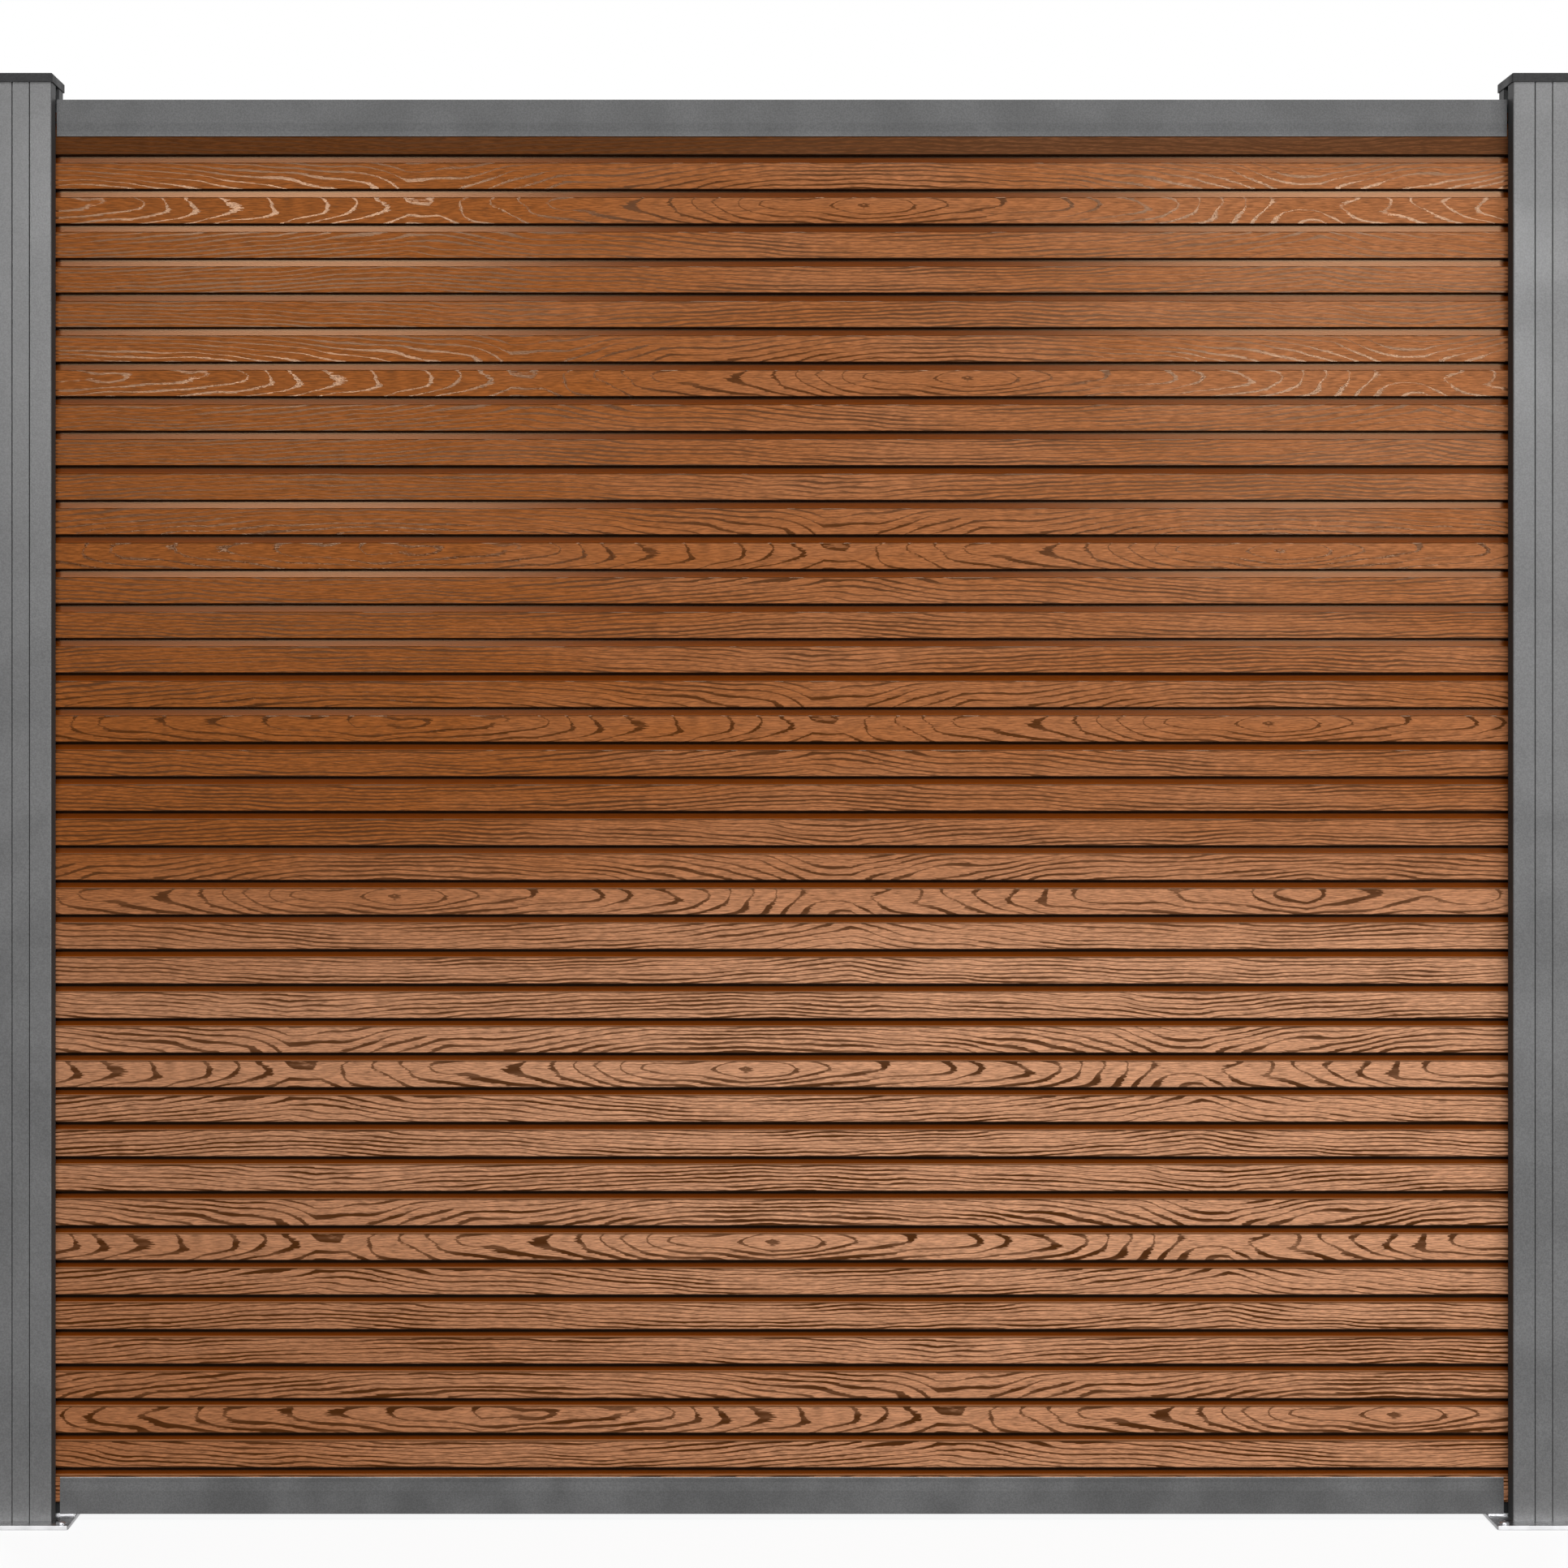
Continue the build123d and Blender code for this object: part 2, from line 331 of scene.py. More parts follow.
@dataclass(frozen=True)
class GrainNoise:
    """Noise stretched along the grain; sizes of its features in millimetres."""

    length: float
    width: float
    salt: float
    detail: float = 1.0
    roughness: float = 0.5

    def build(self, g: ShaderGraph, along: Socket, across: Socket) -> Socket:
        """Adds the noise to a material.

        Args:
            g: the material.
            along: place along the grain.
            across: place across the grain.

        Returns:
            Socket of a value round 0.5.
        """
        place = g.point(g.mul(along, 1.0 / self.length), g.mul(across, 1.0 / self.width), self.salt)
        return g.noise(place, self.detail, self.roughness)


@dataclass(frozen=True)
class Speckle:
    """Noise that is alike in all directions."""

    density: float                  # features per millimetre
    roughness: float = 0.5
    detail: float = 2.0

    def build(self, g: ShaderGraph, place: Socket) -> Socket:
        """Adds the noise to a material, at a place in millimetres."""
        return g.noise(place, self.detail, self.roughness, self.density)


@dataclass(frozen=True)
class BoardPlace:
    """Sockets that tell where on its board a point lies; lengths in millimetres."""

    x: Socket
    y: Socket
    z: Socket
    lift: Socket        # height above the foot of the lowest board
    along: Socket       # along the fence, shifted from board to board
    across: Socket      # height above the heart of the grain
    slat: Socket        # number of the slat, from the bottom
    rise: Socket        # height above the foot of the slat
    over: Socket        # height above the top of the slat
    front: Socket       # 1 on the slats' faces
    back: Socket        # 1 on the board's back
    on_face: Socket     # 1 on both of these


@dataclass(frozen=True)
class Grain:
    """Sockets of the rolled-in grain, each from 0 to 1."""

    lines: Socket       # lines of the growth rings
    pores: Socket       # short dark flecks
    streak: Socket      # fine fibres
    near_heart: Socket  # 1 on the slat that shows the heart
    filled: Socket      # how far dirt has filled the lines


@dataclass(frozen=True)
class CompositeBoardFinish:
    """Extruded wood-plastic board: rolled-in grain on slats and back, smooth recesses between."""

    boards_base: float = 21.0
    board_cover: float = 212.0
    slat_pitch: float = 42.4
    slat_width: float = 33.4
    slat_edge: float = 1.2          # radius of a slat's edges
    face: float = 10.0              # half of the board's thickness
    face_skin: Step = Step(0.5, 0.1)    # depth under a face at which its finish starts

    heart: float = 110.0            # height of the growth rings' middle above a board's lower edge
    heart_depth: float = 14.0       # least depth of the rings' middle behind the face
    heart_slope: float = 0.085      # of the rings' middle, along the board
    heart_run: float = 560.0        # length over which it goes deeper, before it comes back
    heart_swing: float = 9.0
    heart_noise: GrainNoise = GrainNoise(150.0, 200.0, 0.4, 0.0)
    heart_reach: Step = Step(45.0, 24.0)    # distance from the heart
    board_shift: float = 1300.0     # largest shift of the pattern from one board to another
    board_salt: float = 17.0
    wobble: float = 5.0             # of the rings
    wobble_noise: GrainNoise = GrainNoise(85.0, 30.0, 11.2)
    fibre: float = 0.5              # raggedness of the rings' lines
    fibre_noise: GrainNoise = GrainNoise(17.0, 1.5, 31.7, 1.0, 0.65)
    ring_spacing: float = 4.5
    line_width: float = 0.155       # half a line's width, as a share of the rings' spacing
    dirt_width: float = 0.09        # what dirt adds to it
    dirt_by_height: Step = Step(1000.0, 350.0)
    least_slope: float = 0.12       # of a ring against the face, for the width of its line
    slope_power: float = 0.3
    strength_noise: GrainNoise = GrainNoise(150.0, 11.0, 47.3)
    strength_step: Step = Step(0.33, 0.66)
    weakest_width: float = 0.6
    weakest_tone: float = 0.7
    line_edge: Step = Step(1.15, 0.8)
    streak_length: float = 15.0
    streak_density: float = 0.85    # streaks per millimetre of width
    streak_drift: float = 0.06      # change of the streaks with the heart's depth
    streak_detail: float = 2.0
    streak_roughness: float = 0.7
    pore_step: Step = Step(0.63, 0.69)
    pore_share: float = 0.5         # of a pore against a line

    deep_tan: Colour = (0.3, 0.092, 0.021)
    pale_tan: Colour = (0.55, 0.272, 0.149)
    line: Colour = (0.06, 0.015, 0.0005)
    recess: Colour = (0.22, 0.047, 0.0015)
    slat_top: Colour = (0.36, 0.15, 0.06)
    back_painted_share: float = 0.35       # share of the painted sheen and rail shadow on the back, against the front
    painted_sheen_by_height: Step = Step(900.0, 560.0, 0.1, 1.0)      # painted sheen, lower boards paler, by height
    painted_sheen_foot: Step = Step(60.0, 480.0, 0.6, 1.0)   # by height, less painted sheen near the ground
    painted_light_along: Step = Step(-900.0, 300.0, -0.26, 0.13)   # along the fence: painted shade on the left, painted light on the right
    mottle: float = 0.18
    mottle_noise: GrainNoise = GrainNoise(260.0, 55.0, 71.9)
    painted_rail_shadow: Step = Step(1640.0, 1656.0, 0.0, -0.64)   # painted shadow of the top rail on the strip under it, by height
    # along the fence: painted shade towards the left
    painted_shade_along: Step = Step(-900.0, 200.0, 0.86, 1.0)
    streak_tone: Step = Step(0.3, 0.66, 1.34, 0.7)
    recess_streaks: Step = Step(0.25, 0.75, 0.85, 1.15)
    ink: float = 0.9                # share of the line's colour in a clean line
    corner_shade: float = 0.06       # painted shade: share of the colour that is left in the corner under a slat
    edge_shade: float = 0.35         # painted shade, along a slat's upper edge
    recess_level: float = 0.8             # and in the recesses, darker towards the ground
    face_foot: Step = Step(1.0, 1.9)        # painted shade on a face, above the foot of a slat
    recess_foot: Step = Step(1.0, 1.8)      # painted shade in a recess, above the foot of a slat
    face_top: Step = Step(-1.6, -0.8)       # painted shade on a face, against the top of a slat
    edge_start: Step = Step(-3.0, -2.0)     # against the top of a slat
    edge_end: Step = Step(0.3, 0.1)         # against the top of a slat
    edge_depth: float = 0.2         # behind the rounding, where a slat's upper edge is flat
    corner: Step = Step(-3.4, -1.6)         # painted corner shade, against the foot of the next slat
    shade_reach: Step = Step(1100.0, 0.0, 0.0, 2.0)      # how much lower the painted corner shade reaches near the ground

    face_roughness: float = 0.75
    line_roughness: float = 0.17
    recess_roughness: float = 0.22
    brush_depth: float = 0.06       # of the fibres' relief
    groove_tilt: float = 0.04       # spread of the slopes in a grain line, up and down
    facet_length: float = 2.0
    facet_height: float = 0.25
    recess_tilt: float = 0.05       # spread of the recesses' slopes, from one to the next
    recess_salt: float = 9.0
    face_sheen: Colour = (0.17, 0.1, 0.055)
    line_sheen: Colour = (0.72, 0.46, 0.3)
    recess_sheen: Colour = (0.6, 0.36, 0.21)
    gloss: float = 0.9
    pressed: Step = Step(0.5, 0.75)         # strength of a line that is pressed smooth
    # gloss of the lines where the painted rail shadow falls
    rail_shadow_gloss: Step = Step(0.4, 0.9, 0.5, 1.0)
    plain_gloss: float = 0.8        # of lines away from the heart
    dirty_gloss: float = 0.3        # of lines that dirt has filled

    def place(self, g: ShaderGraph) -> BoardPlace:
        """Finds out where on its board a point lies.

        Args:
            g: the material.

        Returns:
            The place.
        """
        x, y, z = g.millimetres()
        lift = g.sub(z, self.boards_base)
        board = g.math("FLOOR", g.math("DIVIDE", lift, self.board_cover))
        slat = g.math("FLOOR", g.math("DIVIDE", lift, self.slat_pitch))
        rise = g.math("MULTIPLY_ADD", slat, -self.slat_pitch, lift)
        front = g.step(g.add(y, self.face), self.face_skin)
        back = g.step(g.sub(self.face, y), self.face_skin)
        return BoardPlace(
            x=x,
            y=y,
            z=z,
            lift=lift,
            along=g.math("MULTIPLY_ADD", g.dice(board, self.board_salt), self.board_shift, x),
            across=g.sub(g.math("MULTIPLY_ADD", board, -self.board_cover, lift), self.heart),
            slat=slat,
            rise=rise,
            over=g.sub(rise, self.slat_width),
            front=front,
            back=back,
            on_face=g.math("MAXIMUM", front, back),
        )

    def grain(self, g: ShaderGraph, p: BoardPlace) -> Grain:
        """Cuts growth rings with the face, as a roller would have been carved.

        Args:
            g: the material.
            p: place on the board.

        Returns:
            The grain.
        """
        def noise(kind: GrainNoise) -> Socket:
            """A noise at this place."""
            return kind.build(g, p.along, p.across)

        run = g.math("PINGPONG", g.add(p.along, 2.0 * self.board_shift), self.heart_run)
        taper = g.math("MULTIPLY_ADD", run, self.heart_slope, self.heart_depth)
        depth = g.add(g.swing(noise(self.heart_noise), self.heart_swing), taper)
        radius = g.math("SQRT", g.add(g.mul(p.across, p.across), g.mul(depth, depth)))
        wobble = g.swing(noise(self.wobble_noise), self.wobble)
        fibre = g.swing(noise(self.fibre_noise), self.fibre)
        rings = g.mul(g.add(g.add(radius, wobble), fibre), 1.0 / self.ring_spacing)
        off_line = g.math("ABSOLUTE", g.sub(g.math("FRACT", rings), 0.5))

        slope = g.math("DIVIDE", p.across, radius)
        square = g.math("MULTIPLY_ADD", slope, slope, self.least_slope ** 2)
        steep = g.math("POWER", square, self.slope_power)
        strength = g.step(noise(self.strength_noise), self.strength_step)
        near_heart = g.step(g.math("ABSOLUTE", p.across), self.heart_reach)
        filled = g.step(p.lift, self.dirt_by_height)
        share = g.math("MULTIPLY_ADD", g.mul(filled, near_heart), self.dirt_width, self.line_width)
        half_width = g.mul(g.mul(steep, share), g.add(strength, self.weakest_width))
        ragged = g.add(g.math("DIVIDE", off_line, half_width), fibre)

        streak_place = g.point(
            g.mul(p.along, 1.0 / self.streak_length),
            g.mul(g.add(p.across, wobble), self.streak_density),
            g.mul(depth, self.streak_drift),
        )
        streak = g.noise(streak_place, self.streak_detail, self.streak_roughness)
        tone = g.between(strength, self.weakest_tone, 1.0)
        return Grain(
            lines=g.mul(g.step(ragged, self.line_edge), tone),
            pores=g.step(streak, self.pore_step),
            streak=streak,
            near_heart=near_heart,
            filled=filled,
        )

    def plain_tone(
        self, g: ShaderGraph, p: BoardPlace, grain: Grain, painted_share: Socket, rail_shadow_level: Socket
    ) -> Socket:
        """Colour of the faces without the grain's lines, with painted sheen, rail shadow and light
        along the fence.

        Args:
            g: the material.
            p: place on the board.
            grain: the grain.
            painted_share: share of the painted sheen and rail shadow on this side.
            rail_shadow_level: painted shadow of the top rail, as a brightness.

        Returns:
            Socket of the colour.
        """
        # painted sheen: lower boards paler
        painted_sheen_by_height = g.mul(g.mul(g.step(p.lift, self.painted_sheen_by_height), g.step(p.lift, self.painted_sheen_foot)), painted_share)
        mottle = g.swing(self.mottle_noise.build(g, p.along, p.across), self.mottle)
        # painted light along the fence, paler on the right
        share = g.add(painted_sheen_by_height, g.add(mottle, g.step(p.x, self.painted_light_along)))
        # painted rail shadow and painted shade towards the left
        level = g.mul(rail_shadow_level, g.step(p.x, self.painted_shade_along))
        streaked = g.mul(level, g.step(grain.streak, self.streak_tone))
        return g.shade(g.mix(share, self.deep_tan, self.pale_tan), streaked)

    def recess_tone(
        self, g: ShaderGraph, p: BoardPlace, grain: Grain, upper_edge: Socket
    ) -> Socket:
        """Colour of the recesses and of the slats' edges, with painted shade in the corners under
        the slats.

        Args:
            g: the material.
            p: place on the board.
            grain: the grain.
            upper_edge: 1 on a slat's upper edge.

        Returns:
            Socket of the colour.
        """
        # painted shade in the corner under each slat, reaching lower near the ground
        shade_height = g.add(p.rise, g.step(p.lift, self.shade_reach))
        in_corner = g.step(g.sub(shade_height, self.slat_pitch), self.corner)
        recess_shade = g.mul(
            g.between(in_corner, 1.0, self.corner_shade),
            g.between(g.step(p.rise, self.recess_foot), self.corner_shade, 1.0),
        )
        # recesses darker towards the ground
        recess_level = g.mul(recess_shade, g.between(grain.filled, 1.0, self.recess_level))
        smooth = g.shade(self.recess, g.mul(recess_level, g.step(grain.streak, self.recess_streaks)))
        flat_from = self.slat_edge - self.face
        upright = g.ramp(p.y, flat_from, flat_from + self.edge_depth)
        rounded = g.mix(g.mul(upper_edge, g.sub(1.0, upright)), smooth, self.line)
        return g.mix(g.mul(upper_edge, upright), rounded, self.slat_top)

    def build(self) -> bpy.types.Material:
        """Makes the finish.

        Returns:
            The material.
        """
        g = ShaderGraph(bpy.data.materials.new("embossed_composite_board"))
        p = self.place(g)
        grain = self.grain(g, p)
        pores = g.mul(grain.pores, self.pore_share)
        marks = g.math("MAXIMUM", grain.lines, pores)
        upper_edge = g.mul(g.step(p.over, self.edge_start), g.step(p.over, self.edge_end))

        # painted sheen and painted rail shadow: full on the front, weaker on the back
        painted_share = g.between(p.back, 1.0, self.back_painted_share)
        # painted shadow of the top rail on the strip under it
        rail_shadow_level = g.math("MULTIPLY_ADD", g.step(p.lift, self.painted_rail_shadow), painted_share, 1.0)
        plain = self.plain_tone(g, p, grain, painted_share, rail_shadow_level)
        # painted shade along the foot and the upper edge of each slat's face
        painted_shade = g.mul(
            g.between(g.step(p.rise, self.face_foot), self.corner_shade, 1.0),
            g.between(g.step(p.over, self.face_top), 1.0, self.edge_shade),
        )
        inked = g.mul(marks, g.between(grain.filled, self.ink, 1.0))
        front_colour = g.shade(g.mix(inked, plain, self.line), painted_shade)
        back_colour = g.mix(g.mul(marks, self.ink), plain, self.line)
        seen = g.mix(p.front, self.recess_tone(g, p, grain, upper_edge), front_colour)

        in_recess = g.mul(g.sub(1.0, p.on_face), g.sub(1.0, upper_edge))
        smooth_line = g.math("MAXIMUM", g.step(grain.lines, self.pressed), pores)
        heart_gloss = g.between(grain.near_heart, self.plain_gloss, 1.0)
        exposed = g.mul(g.step(rail_shadow_level, self.rail_shadow_gloss), heart_gloss)
        clean = g.between(grain.filled, 1.0, self.dirty_gloss)
        in_line = g.mul(g.mul(smooth_line, p.on_face), g.mul(exposed, clean))
        roughness = g.add(
            g.between(in_line, self.face_roughness, self.line_roughness),
            g.mul(in_recess, self.recess_roughness - self.face_roughness),
        )
        brushed = g.mul(grain.streak, g.mul(p.on_face, -self.brush_depth))
        facet = g.dice(
            g.math("FLOOR", g.mul(p.x, 1.0 / self.facet_length)),
            g.math("FLOOR", g.mul(p.z, 1.0 / self.facet_height)),
        )
        tilt = g.add(
            g.mul(g.swing(facet, self.groove_tilt), in_line),
            g.mul(g.swing(g.dice(p.slat, self.recess_salt), self.recess_tilt), in_recess),
        )
        on_slat = g.mix(in_line, self.face_sheen, self.line_sheen)
        return g.surface(
            Base_Color=g.mix(p.back, seen, back_colour),
            Roughness=roughness,
            Specular_IOR_Level=self.gloss,
            Specular_Tint=g.mix(in_recess, on_slat, self.recess_sheen),
            Normal=g.tilted(g.relief(brushed, 1.0), tilt),
        )


@dataclass(frozen=True)
class PowderCoatFinish:
    """Fine textured powder coat on aluminium."""

    name: str
    grey: Colour
    roughness: float
    gloss: float
    clouding: float                 # change of the grey over a hand's width
    highlight_heights: tuple[float, ...] = ()    # of edges with a painted highlight
    highlight_edge: Step = Step(0.6, 1.5, 2.1, 1.0)  # distance from such an edge
    shaded_beyond: float = 0.0      # the posts' inner faces lie nearer the middle
    shaded_step: float = 0.3
    shaded_tone: float = 0.3
    shaded_roughness: float = 0.55  # what is added there
    roughness_spread: float = 0.05
    grit: Speckle = Speckle(0.55, 0.6)
    grit_contrast: float = 0.16
    grit_depth: float = 0.08
    cloud: Speckle = Speckle(0.012)

    def build(self) -> bpy.types.Material:
        """Makes the finish.

        Returns:
            The material.
        """
        g = ShaderGraph(bpy.data.materials.new(self.name))
        x, y, z = g.millimetres()
        place = g.point(x, y, z)
        grit = self.grit.build(g, place)
        cloud = self.cloud.build(g, place)
        level = g.mul(g.around(grit, 1.0, self.grit_contrast), g.around(cloud, 1.0, self.clouding))
        # painted highlights along the rails' edges
        for height in self.highlight_heights:
            level = g.mul(level, g.step(g.math("ABSOLUTE", g.sub(z, height)), self.highlight_edge))
        roughness = g.around(cloud, self.roughness, self.roughness_spread)
        if self.shaded_beyond:
            outer = self.shaded_beyond + self.shaded_step
            inner = g.ramp(g.math("ABSOLUTE", x), outer, self.shaded_beyond)
            level = g.mul(level, g.between(inner, 1.0, self.shaded_tone))
            roughness = g.math("MULTIPLY_ADD", inner, self.shaded_roughness, roughness)
        return g.surface(
            Base_Color=g.shade(self.grey, level),
            Roughness=roughness,
            Specular_IOR_Level=self.gloss,
            Normal=g.relief(grit, self.grit_depth),
        )


@dataclass(frozen=True)
class MouldedPlasticFinish:
    """Moulded plastic with a fine spark-eroded texture."""

    name: str
    base: Colour
    roughness: float
    roughness_spread: float = 0.06
    gloss: float = 0.25
    grit: Speckle = Speckle(0.7, 0.6)
    grit_tone: tuple[float, float] = (0.8, 1.25)
    grit_depth: float = 0.1
    flow: Speckle = Speckle(0.03)

    def build(self) -> bpy.types.Material:
        """Makes the finish.

        Returns:
            The material.
        """
        g = ShaderGraph(bpy.data.materials.new(self.name))
        place = g.point(*g.millimetres())
        grit = self.grit.build(g, place)
        flow = self.flow.build(g, place)
        return g.surface(
            Base_Color=g.shade(self.base, g.spread(grit, *self.grit_tone)),
            Roughness=g.around(flow, self.roughness, self.roughness_spread),
            Specular_IOR_Level=self.gloss,
            Normal=g.relief(grit, self.grit_depth),
        )


@dataclass(frozen=True)
class BareMetalFinish:
    """Bare rolled or plated metal with fine drawing lines along one direction."""

    name: str
    base: Colour
    roughness: float
    line_length: float
    line_width: float
    line_depth: float = 0.02
    line_detail: float = 3.0
    line_fineness: float = 0.6
    line_roughness: Step = Step(0.25, 0.75, -0.05, 0.05)
    stain: Speckle = Speckle(0.035)
    stain_tone: tuple[float, float] = (0.9, 1.05)
    stain_roughness: tuple[float, float] = (-0.04, 0.06)
    sawn_beyond: float = 0.0        # sawn edges, which scatter light, lie further out
    sawn_step: float = 0.3
    sawn_metal: float = 0.2
    sawn_tone: float = 1.25
    sawn_roughness: float = 0.4     # what is added there

    def build(self) -> bpy.types.Material:
        """Makes the finish.

        Returns:
            The material.
        """
        g = ShaderGraph(bpy.data.materials.new(self.name))
        x, y, z = g.millimetres()
        across = 1.0 / self.line_width
        line_place = g.point(g.mul(x, 1.0 / self.line_length), g.mul(y, across), g.mul(z, across))
        lines = g.noise(line_place, self.line_detail, self.line_fineness)
        stain = self.stain.build(g, g.point(x, y, z))
        smoother, rougher = self.stain_roughness
        metal: Number = 1.0
        level = g.spread(stain, *self.stain_tone)
        roughness = g.add(
            g.step(lines, self.line_roughness),
            g.spread(stain, self.roughness + smoother, self.roughness + rougher),
        )
        if self.sawn_beyond:
            edge = self.sawn_beyond + self.sawn_step
            sawn = g.ramp(g.math("ABSOLUTE", y), self.sawn_beyond, edge)
            metal = g.between(sawn, 1.0, self.sawn_metal)
            level = g.mul(level, g.between(sawn, 1.0, self.sawn_tone))
            roughness = g.math("MULTIPLY_ADD", sawn, self.sawn_roughness, roughness)
        return g.surface(
            Base_Color=g.shade(self.base, level),
            Metallic=metal,
            Roughness=roughness,
            Normal=g.relief(lines, self.line_depth),
        )


def dress(node: str, material: bpy.types.Material) -> None:
    """Gives a node of the frame its finish.

    Args:
        node: name of the node.
        material: finish for all of its faces.
    """
    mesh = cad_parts[node].data
    if not mesh.materials:
        mesh.materials.append(material)
    for index in range(len(mesh.materials)):
        mesh.materials[index] = material
    LOG.info("dressed %s in %s", node, material.name)


@dataclass
class BoardStack:
    """The slatted boards between the posts."""

    count: int = 8
    finish: CompositeBoardFinish = CompositeBoardFinish()

    def dress(self) -> None:
        """Gives every board the embossed finish."""
        material = self.finish.build()
        for number in range(1, self.count + 1):
            dress(f"slat_board_{number}", material)


@dataclass
class CoatedFrame:
    """Rails, posts and slot covers in grey powder coat, with moulded caps on the posts."""

    post_coat: PowderCoatFinish = PowderCoatFinish(
        name="post_powder_coat",
        grey=(0.148, 0.148, 0.149),
        roughness=0.34,
        gloss=0.65,
        clouding=0.06,
        shaded_beyond=891.2,
    )
    rail_coat: PowderCoatFinish = PowderCoatFinish(
        name="rail_powder_coat",
        grey=(0.108, 0.108, 0.109),
        roughness=0.5,
        gloss=0.45,
        clouding=0.16,
        # painted highlights on the bottom rail's top edge and the top rail's lower edge
        highlight_heights=(52.5, 1697.5),
    )
    cap: MouldedPlasticFinish = MouldedPlasticFinish(
        name="grey_cap_plastic", base=(0.045, 0.045, 0.046), roughness=0.85
    )

    def dress(self) -> None:
        """Gives rails, posts, covers and caps their finishes."""
        post_coat, rail_coat, cap = (f.build() for f in (self.post_coat, self.rail_coat, self.cap))
        for node in ("bottom_rail", "top_rail"):
            dress(node, rail_coat)
        for side in Side:
            for part in ("post", "front_cover", "rear_cover", "outer_cover"):
                dress(f"{part}_{side.value}", post_coat)
            dress(f"post_cap_{side.value}", cap)


@dataclass
class PostFeet:
    """Base plates, rail brackets, board packers and the hidden screws."""

    plate: BareMetalFinish = BareMetalFinish(
        name="mill_finish_plate",
        base=(0.72, 0.72, 0.73),
        roughness=0.27,
        line_length=60.0,
        line_width=1.2,
        sawn_beyond=61.9,
    )
    bracket: BareMetalFinish = BareMetalFinish(
        name="bright_bracket",
        base=(0.86, 0.86, 0.87),
        roughness=0.34,
        line_length=40.0,
        line_width=1.0,
    )
    packer: MouldedPlasticFinish = MouldedPlasticFinish(
        name="black_packer_plastic", base=(0.012, 0.012, 0.012), roughness=0.6
    )
    screw: BareMetalFinish = BareMetalFinish(
        name="zinc_plated_screw",
        base=(0.62, 0.62, 0.64),
        roughness=0.3,
        line_length=3.0,
        line_width=3.0,
    )

    def dress(self) -> bpy.types.Material:
        """Gives the pieces of both feet their finishes.

        Returns:
            The screws' finish, for the anchor screws.
        """
        finishes = (self.plate, self.bracket, self.packer, self.screw)
        plate, bracket, packer, screw = (finish.build() for finish in finishes)
        for side in Side:
            dress(f"base_plate_{side.value}", plate)
            dress(f"rail_bracket_{side.value}", bracket)
            dress(f"board_packer_{side.value}", packer)
        dress("base_screws", screw)
        return screw


